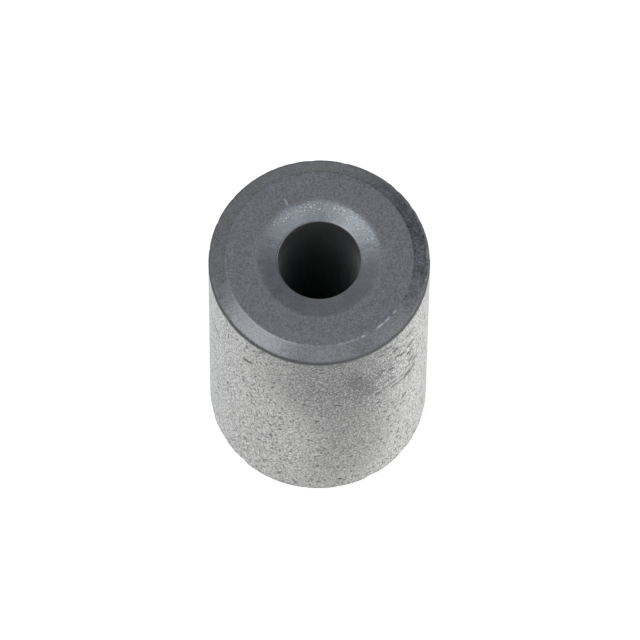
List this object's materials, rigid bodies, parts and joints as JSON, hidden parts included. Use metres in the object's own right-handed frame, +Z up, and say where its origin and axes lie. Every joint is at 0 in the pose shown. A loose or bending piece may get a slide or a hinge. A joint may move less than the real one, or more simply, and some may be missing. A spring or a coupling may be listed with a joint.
{
  "type": "ferrite cable core",
  "caption": "Solid round ferrite core with a plain through bore, dished bore mouths and chamfered rims, threaded over a round cable to damp high-frequency interference.",
  "frame": {"origin": "centre of the lower end face, on the bore's axis", "axes": "+Z up along the bore; the part is a body of revolution, so X and Y are alike"},
  "size_m": [0.0126, 0.0126, 0.0205],
  "materials": {
    "ferrite": "sintered dark grey ferrite, matt ends and a fine-grained satin barrel"
  },
  "bodies": {
    "root": {"ferrite_core": "ferrite"}
  },
  "joints": []
}
